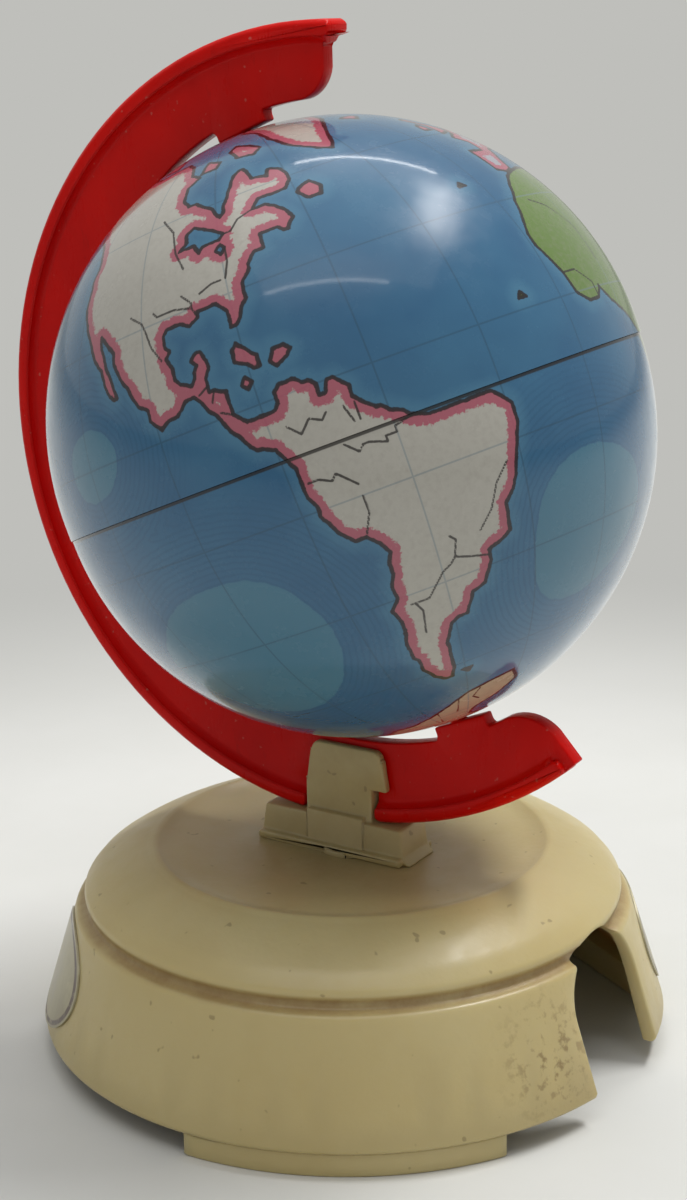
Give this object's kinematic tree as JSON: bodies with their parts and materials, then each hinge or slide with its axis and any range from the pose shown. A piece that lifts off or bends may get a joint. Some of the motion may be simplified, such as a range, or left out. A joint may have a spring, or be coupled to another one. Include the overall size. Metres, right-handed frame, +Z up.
{
  "type": "globe gumball machine",
  "caption": "Toy desk-globe gumball machine: a tin globe spins in a moulded meridian arm on a hollow round stand; turning the arm drives a star wheel that lets a gumball out of the arch.",
  "frame": {"origin": "on the table plane, on the turning axis of the stand's post", "axes": "+Z up along the post's axis, -Y out through the arched outlet, +X to the outlet's left seen from inside"},
  "size_m": [0.0718, 0.08, 0.1137],
  "materials": {
    "ivory_plastic": "satin moulded ivory",
    "inner_plastic": "plain moulded, unpolished",
    "label_foil": "blank lacquered foil",
    "screw_steel": "zinc plated",
    "gumball_glaze": "polished sugar glaze",
    "red_plastic": "polished red",
    "tinplate": "printed and varnished map"
  },
  "bodies": {
    "base": {"stand_shell": "ivory_plastic", "label_front": "label_foil", "label_rear": "label_foil", "gumball_cup": "inner_plastic", "cup_screws": "screw_steel"},
    "stand": {"dispensing_wheel": "inner_plastic", "wheel_washer": "screw_steel", "wheel_screw": "screw_steel", "gumballs": "gumball_glaze", "stand_post": "ivory_plastic", "meridian_arm": "red_plastic"},
    "globe": {"globe_south_half": "tinplate", "globe_north_half": "tinplate"}
  },
  "joints": [
    {"name": "stand_turn", "type": "hinge", "parent": "base", "child": "stand", "pos_m": [0, 0, 0.02], "axis": [0, 0, 1], "continuous": true},
    {"name": "globe_spin", "type": "hinge", "parent": "stand", "child": "globe", "pos_m": [0, -0.00125, 0.0697], "axis": [0, 0.3907, 0.9205], "continuous": true}
  ]
}
